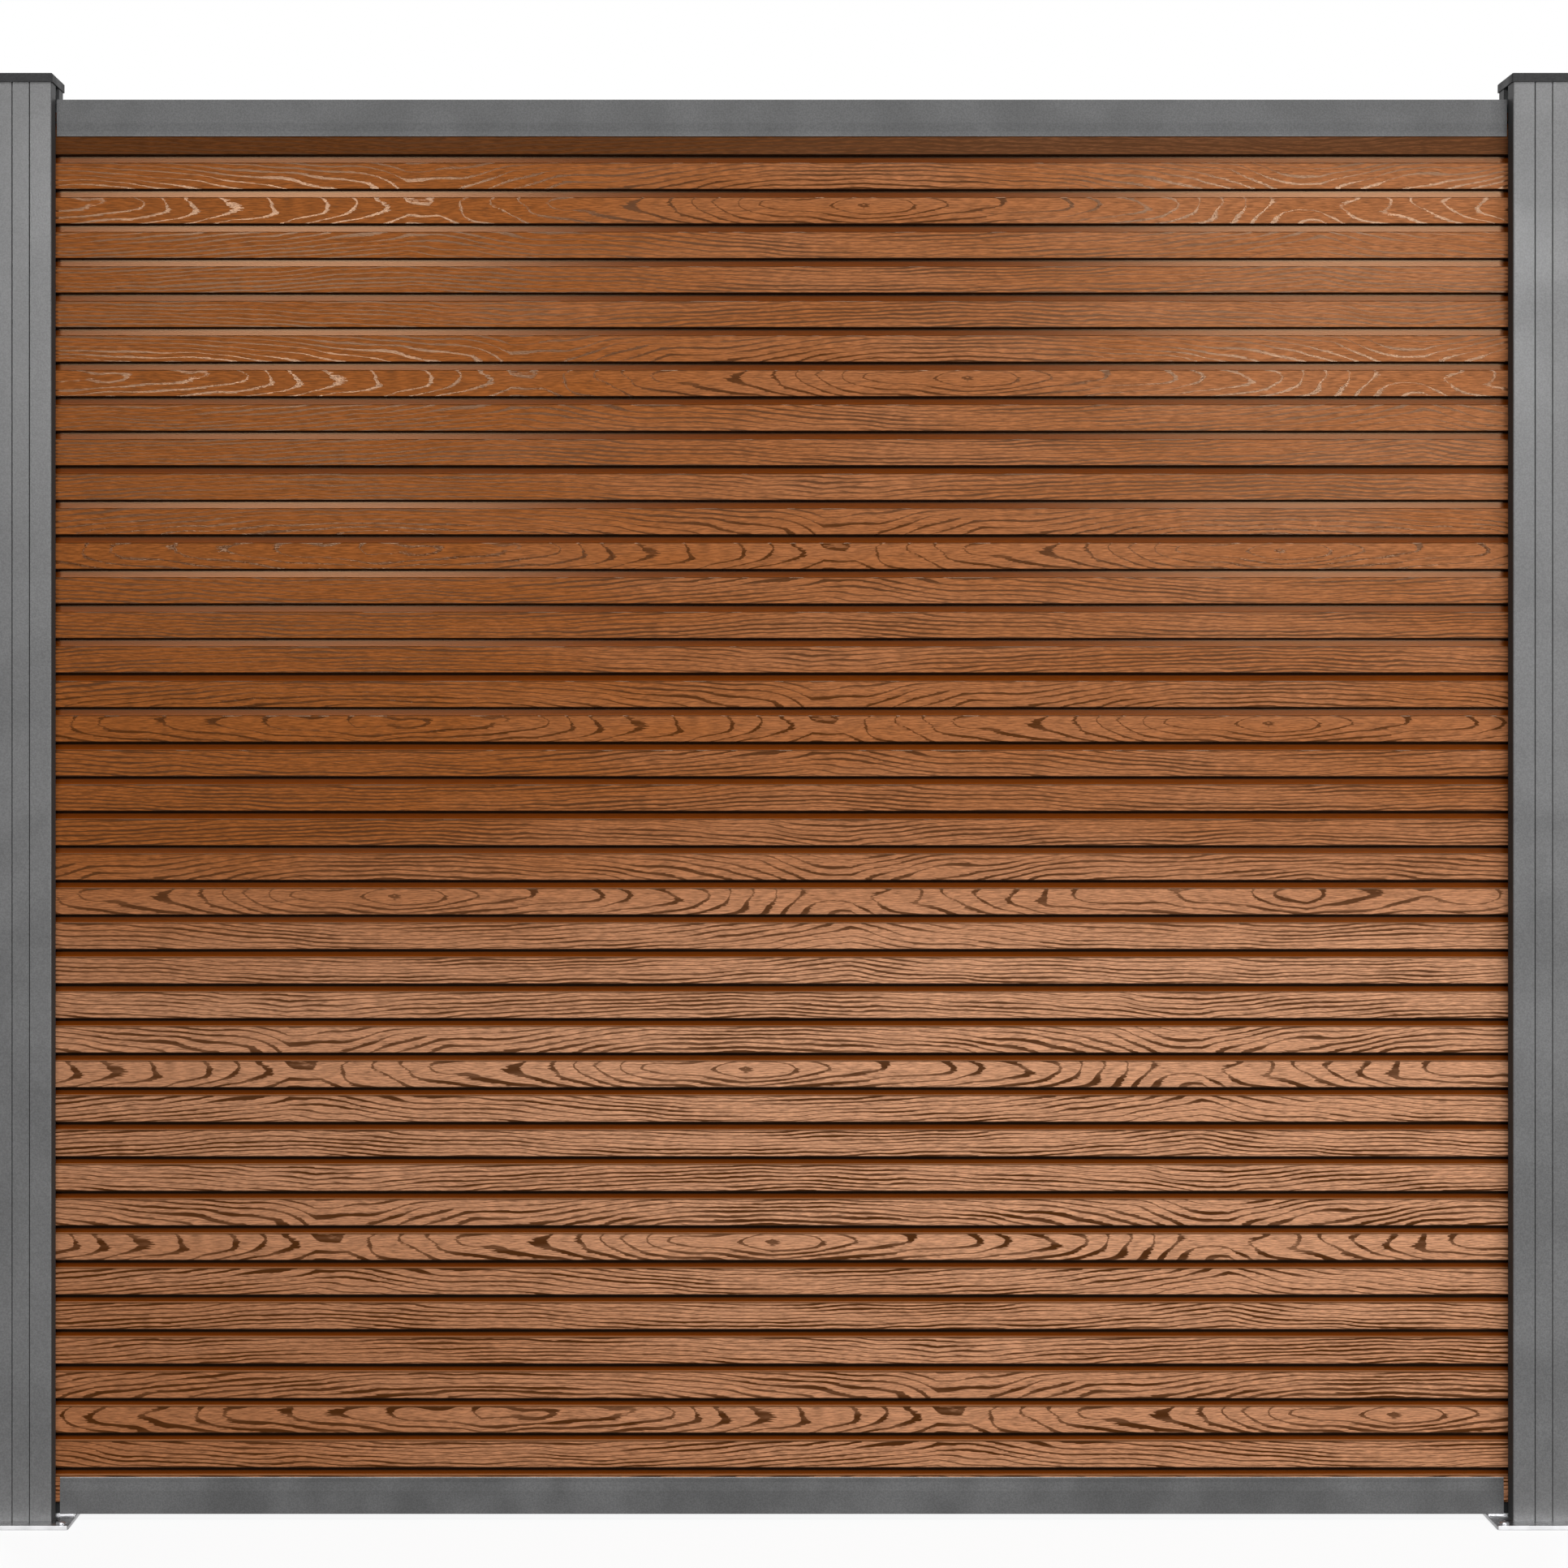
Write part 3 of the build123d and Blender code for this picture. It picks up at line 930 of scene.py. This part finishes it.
@dataclass
class AnchorScrews:
    """Pan-head anchor screws in the corners of both base plates; sizes in millimetres."""

    post_spacing: float = 1857.0
    hole_spacing: float = 105.0
    holes_a_side: int = 2           # of a plate
    plate_top: float = 5.0
    head_radius: float = 6.6
    head_height: float = 3.8
    head_edge: float = 0.9          # height where the dome ends
    head_bevel: float = 0.2         # along the underside
    dome_steps: int = 7
    socket_radius: float = 2.5
    socket_depth: float = 1.9
    socket_bevel: float = 0.25
    socket_sides: int = 6
    shank_radius: float = 3.9
    shank_end: float = 0.4          # above the ground
    turns: int = 36
    seed: int = 7

    def profile(self) -> list[tuple[float, float]]:
        """Outline of one screw, from the middle of its socket to the middle of its shank's end.

        Returns:
            Points of radius and height above the plate.
        """
        socket_floor = self.head_height - self.socket_depth
        rim = self.socket_radius + self.socket_bevel
        points = [
            (0.0, socket_floor),
            (self.socket_radius, socket_floor),
            (self.socket_radius, self.head_height - self.socket_bevel),
            (rim, self.head_height),
        ]
        for step in range(1, self.dome_steps + 1):
            angle = math.pi / 2 * step / self.dome_steps
            radius = rim + (self.head_radius - rim) * math.sin(angle)
            height = self.head_edge + (self.head_height - self.head_edge) * math.cos(angle)
            points.append((radius, height))
        tip = self.shank_end - self.plate_top
        return points + [
            (self.head_radius, self.head_bevel),
            (self.head_radius - self.head_bevel, 0.0),
            (self.shank_radius, 0.0),
            (self.shank_radius, tip),
            (0.0, tip),
        ]

    def reach(self, radius: float, height: float, angle: float) -> float:
        """Distance from the axis, which in the socket goes round its flat sides.

        Args:
            radius: radius in the outline.
            height: height above the plate.
            angle: direction from the axis.

        Returns:
            The distance in that direction.
        """
        if height <= 0.0 or radius > self.socket_radius:
            return radius
        half_side = math.pi / self.socket_sides
        off_middle = (angle + half_side) % (2.0 * half_side) - half_side
        return radius * math.cos(half_side) / math.cos(off_middle)

    def screw_mesh(self) -> bpy.types.Mesh:
        """Turns the outline round the screw's axis.

        Returns:
            A closed mesh with its head's underside at the origin.
        """
        work = bmesh.new()
        rings: list[list[bmesh.types.BMVert]] = []
        for radius, height in self.profile():
            ring = []
            for turn in range(self.turns if radius > 0.0 else 1):
                angle = math.tau * turn / self.turns
                reach = self.reach(radius, height, angle)
                corner = Vector((reach * math.cos(angle), reach * math.sin(angle), height))
                ring.append(work.verts.new(corner * MM))
            rings.append(ring)
        for upper, lower in zip(rings, rings[1:]):
            for turn in range(self.turns):
                after = turn + 1
                around = ((upper, turn), (lower, turn), (lower, after), (upper, after))
                corners = [ring[number % len(ring)] for ring, number in around]
                work.faces.new(list(dict.fromkeys(corners)))
        bmesh.ops.recalc_face_normals(work, faces=work.faces)
        mesh = bpy.data.meshes.new("anchor_screw")
        work.to_mesh(mesh)
        work.free()
        return mesh

    def tree(self) -> tuple[bpy.types.GeometryNodeTree, dict[str, str]]:
        """Builds the node tree that sets a screw into each anchor hole.

        Returns:
            The tree, and the identifiers of its inputs by name.
        """
        tree = bpy.data.node_groups.new("anchor_screws", "GeometryNodeTree")
        socket = tree.interface.new_socket
        socket("Geometry", in_out="INPUT", socket_type="NodeSocketGeometry")
        kinds = {
            "Post Spacing": "NodeSocketFloat",
            "Hole Spacing": "NodeSocketFloat",
            "Plate Top": "NodeSocketFloat",
            "Seed": "NodeSocketInt",
            "Finish": "NodeSocketMaterial",
        }
        names = {
            name: socket(name, in_out="INPUT", socket_type=kind).identifier
            for name, kind in kinds.items()
        }
        socket("Geometry", in_out="OUTPUT", socket_type="NodeSocketGeometry")
        nodes, link = tree.nodes, tree.links.new
        source, result = nodes.new("NodeGroupInput"), nodes.new("NodeGroupOutput")

        ends = []
        for share in (-0.5, 0.5):
            place = nodes.new("ShaderNodeMath")
            place.operation = "MULTIPLY"
            place.inputs[1].default_value = share
            link(source.outputs["Post Spacing"], place.inputs[0])
            end = nodes.new("ShaderNodeCombineXYZ")
            link(place.outputs[0], end.inputs["X"])
            link(source.outputs["Plate Top"], end.inputs["Z"])
            ends.append(end)
        posts = nodes.new("GeometryNodeMeshLine")
        posts.mode = "END_POINTS"
        posts.inputs["Count"].default_value = len(ends)
        link(ends[0].outputs[0], posts.inputs["Start Location"])
        link(ends[1].outputs[0], posts.inputs["Offset"])
        holes = nodes.new("GeometryNodeMeshGrid")
        for name in ("Vertices X", "Vertices Y"):
            holes.inputs[name].default_value = self.holes_a_side
        for name in ("Size X", "Size Y"):
            link(source.outputs["Hole Spacing"], holes.inputs[name])
        plates = nodes.new("GeometryNodeInstanceOnPoints")
        link(posts.outputs["Mesh"], plates.inputs["Points"])
        link(holes.outputs["Mesh"], plates.inputs["Instance"])
        corners = nodes.new("GeometryNodeRealizeInstances")
        link(plates.outputs[0], corners.inputs[0])
        turn = nodes.new("FunctionNodeRandomValue")
        turn.data_type = "FLOAT_VECTOR"
        turn.inputs[0].default_value = (0.0, 0.0, 0.0)
        turn.inputs[1].default_value = (0.0, 0.0, math.tau)
        link(source.outputs["Seed"], turn.inputs["Seed"])
        screws = nodes.new("GeometryNodeInstanceOnPoints")
        link(corners.outputs[0], screws.inputs["Points"])
        link(source.outputs["Geometry"], screws.inputs["Instance"])
        link(turn.outputs[0], screws.inputs["Rotation"])
        realised = nodes.new("GeometryNodeRealizeInstances")
        link(screws.outputs[0], realised.inputs[0])
        finish = nodes.new("GeometryNodeSetMaterial")
        link(realised.outputs[0], finish.inputs["Geometry"])
        link(source.outputs["Finish"], finish.inputs["Material"])
        link(finish.outputs[0], result.inputs[0])
        return tree, names

    def build(self, material: bpy.types.Material) -> bpy.types.Object:
        """Sets the screws into both plates.

        Args:
            material: finish of the screws.

        Returns:
            One plain mesh object with all screws.
        """
        seed_object = bpy.data.objects.new("anchor_screws", self.screw_mesh())
        bpy.context.scene.collection.objects.link(seed_object)
        tree, names = self.tree()
        modifier = seed_object.modifiers.new("set_in_holes", "NODES")
        modifier.node_group = tree
        modifier[names["Post Spacing"]] = self.post_spacing * MM
        modifier[names["Hole Spacing"]] = self.hole_spacing * MM
        modifier[names["Plate Top"]] = self.plate_top * MM
        modifier[names["Seed"]] = self.seed
        modifier[names["Finish"]] = material
        bpy.context.view_layer.update()
        evaluated = seed_object.evaluated_get(bpy.context.evaluated_depsgraph_get())
        mesh = bpy.data.meshes.new_from_object(evaluated)
        seed_object.modifiers.clear()
        seed_object.data = mesh
        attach(seed_object, "root")
        LOG.info("built %s with %d faces", seed_object.name, len(mesh.polygons))
        return seed_object


def hang(lamp: bpy.types.Light, towards: Vector) -> bpy.types.Object:
    """Hangs a lamp in the studio.

    Args:
        lamp: the lamp.
        towards: direction in which it shines.

    Returns:
        The lamp object.
    """
    holder = bpy.data.objects.new(lamp.name, lamp)
    holder.rotation_euler = towards.to_track_quat("-Z", "Y").to_euler()
    bpy.context.scene.collection.objects.link(holder)
    LOG.info("hung lamp %s", lamp.name)
    return holder


@dataclass(frozen=True)
class Softbox:
    """One rectangular studio lamp; sizes in metres."""

    name: str
    place: tuple[float, float, float]
    target: tuple[float, float, float]
    width: float
    height: float
    power: float

    def build(self) -> bpy.types.Object:
        """Hangs the lamp and turns it towards its target.

        Returns:
            The lamp object.
        """
        lamp = bpy.data.lights.new(self.name, "AREA")
        lamp.shape = "RECTANGLE"
        lamp.size, lamp.size_y = self.width, self.height
        lamp.energy = self.power
        holder = hang(lamp, Vector(self.target) - Vector(self.place))
        holder.location = self.place
        holder.visible_camera = False
        return holder


@dataclass(frozen=True)
class OverheadLight:
    """A broad even light from above; angles in degrees."""

    elevation: float = 50.0
    azimuth: float = 6.0            # towards the right of the viewer
    spread: float = 28.0
    strength: float = 2.6

    def build(self) -> bpy.types.Object:
        """Hangs the light.

        Returns:
            The lamp object.
        """
        lamp = bpy.data.lights.new("overhead_light", "SUN")
        lamp.energy = self.strength
        lamp.angle = math.radians(self.spread)
        rise, turn = math.radians(self.elevation), math.radians(self.azimuth)
        level = math.cos(rise)
        towards = (-math.sin(turn) * level, math.cos(turn) * level, -math.sin(rise))
        return hang(lamp, Vector(towards))


@dataclass
class Studio:
    """Pale floor, white surroundings behind a dim room, lamps and camera."""

    floor_size: float = 60.0
    floor_albedo: float = 0.12
    floor_glow: float = 0.86        # what makes the floor white in the picture
    floor_edge: float = 0.3         # half width of the change to the white floor
    floor_drop: float = 0.0005      # below the base plates
    ambient: float = 0.035
    surroundings: float = 1.0       # strength of the white behind the panel
    world_edge: float = 0.25        # half width of the change to it
    camera_place: tuple[float, float, float] = (-0.083, -4.1545, 1.0035)
    focal_pixels: float = 4161.0
    centre_pixels: tuple[float, float] = (880.0, 865.0)
    sensor: float = 36.0
    overhead: OverheadLight = OverheadLight()
    lamps: tuple[Softbox, ...] = (
        Softbox("left_softbox", (-1.2, -5.0, 2.2), (0.0, 0.0, 1.0), 1.1, 0.7, 46.0),
        Softbox("right_softbox", (1.65, -5.0, 2.2), (0.0, 0.0, 1.0), 1.1, 0.7, 46.0),
        Softbox("right_fill", (2.9, -2.6, 0.8), (0.0, 0.0, 0.9), 1.0, 1.0, 24.0),
        Softbox("rear_left_softbox", (-1.9, 3.6, 2.4), (0.0, 0.0, 0.9), 1.4, 1.4, 110.0),
        Softbox("rear_right_softbox", (1.9, 3.6, 2.4), (0.0, 0.0, 0.9), 1.4, 1.4, 110.0),
    )

    def show(
        self, g: ShaderGraph, source: str, edge: float, dim: bpy.types.Node, white: bpy.types.Node
    ) -> None:
        """Ends the floor or the world in a mix of the dim room and the white surroundings.

        Camera rays see the white, and so do glossy and transmission rays that go behind the panel.

        Args:
            g: the floor's or the world's tree.
            source: texture coordinate, whose Y is positive behind the panel.
            edge: half width of the change from the dim room to the white surroundings.
            dim: shader of the dim room.
            white: shader of the white surroundings.
        """
        ray = g.node("LightPath").outputs
        mirrored = g.math("MAXIMUM", ray["Is Glossy Ray"], ray["Is Transmission Ray"])
        behind = g.ramp(g.axes(g.node("TexCoord").outputs[source])[1], -edge, edge)
        share = g.math("MAXIMUM", ray["Is Camera Ray"], g.mul(mirrored, behind))
        choice = g.node("MixShader")
        for socket, value in zip(choice.inputs, (share, dim.outputs[0], white.outputs[0])):
            g.wire(socket, value)
        g.show(choice.outputs[0])

    def floor_finish(self) -> bpy.types.Material:
        """White paper floor that keeps the object's shadow.

        Returns:
            The floor's material.
        """
        material = bpy.data.materials.new("paper_floor")
        g = ShaderGraph(material)
        paper, glow, white = g.node("BsdfDiffuse"), g.node("Emission"), g.node("AddShader")
        g.wire(paper.inputs["Color"], (self.floor_albedo, self.floor_albedo, self.floor_albedo))
        g.wire(glow.inputs["Strength"], self.floor_glow)
        g.wire(white.inputs[0], paper.outputs[0])
        g.wire(white.inputs[1], glow.outputs[0])
        self.show(g, "Object", self.floor_edge, paper, white)
        return material

    def build_floor(self) -> bpy.types.Object:
        """Lays the floor under the base plates.

        Returns:
            The floor object.
        """
        half = self.floor_size / 2
        corners = [(-half, -half, 0.0), (half, -half, 0.0), (half, half, 0.0), (-half, half, 0.0)]
        mesh = bpy.data.meshes.new("studio_floor")
        mesh.from_pydata(corners, [], [range(len(corners))])
        mesh.materials.append(self.floor_finish())
        floor = bpy.data.objects.new("studio_floor", mesh)
        floor.location = (0.0, 0.0, -self.floor_drop)
        bpy.context.scene.collection.objects.link(floor)
        return floor

    def build_world(self) -> None:
        """White surroundings behind the panel, a dim room in front and a little light all round."""
        world = bpy.data.worlds.new("studio")
        bpy.context.scene.world = world
        g = ShaderGraph(world)
        room, surroundings = g.node("Background"), g.node("Background")
        for level, strength in ((room, self.ambient), (surroundings, self.surroundings)):
            g.wire(level.inputs["Color"], (1.0, 1.0, 1.0))
            g.wire(level.inputs["Strength"], strength)
        self.show(g, "Generated", self.world_edge, room, surroundings)

    def build_camera(self) -> bpy.types.Object:
        """Sets up the camera of the photograph.

        Returns:
            The camera object.
        """
        data = bpy.data.cameras.new("photo_camera")
        data.sensor_width = self.sensor
        data.lens = self.focal_pixels / PHOTO_PIXELS * self.sensor
        data.shift_x = (PHOTO_PIXELS / 2 - self.centre_pixels[0]) / PHOTO_PIXELS
        data.shift_y = (self.centre_pixels[1] - PHOTO_PIXELS / 2) / PHOTO_PIXELS
        camera = bpy.data.objects.new("photo_camera", data)
        camera.location = self.camera_place
        camera.rotation_euler = (math.pi / 2, 0.0, 0.0)
        bpy.context.scene.collection.objects.link(camera)
        bpy.context.scene.camera = camera
        return camera

    def build(self) -> None:
        """Sets up the whole studio."""
        bpy.context.scene.view_settings.view_transform = "Standard"
        self.build_floor()
        self.build_world()
        self.overhead.build()
        for lamp in self.lamps:
            lamp.build()
        self.build_camera()
        LOG.info("studio is set up")


def main() -> None:
    """Dresses the frame, adds the anchor screws and sets up the studio."""
    logging.basicConfig(level=logging.INFO, format="%(name)s: %(message)s")
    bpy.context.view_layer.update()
    Studio().build()
    BoardStack().dress()
    CoatedFrame().dress()
    screw_finish = PostFeet().dress()
    AnchorScrews().build(screw_finish)


if __name__ == "__main__":
    main()
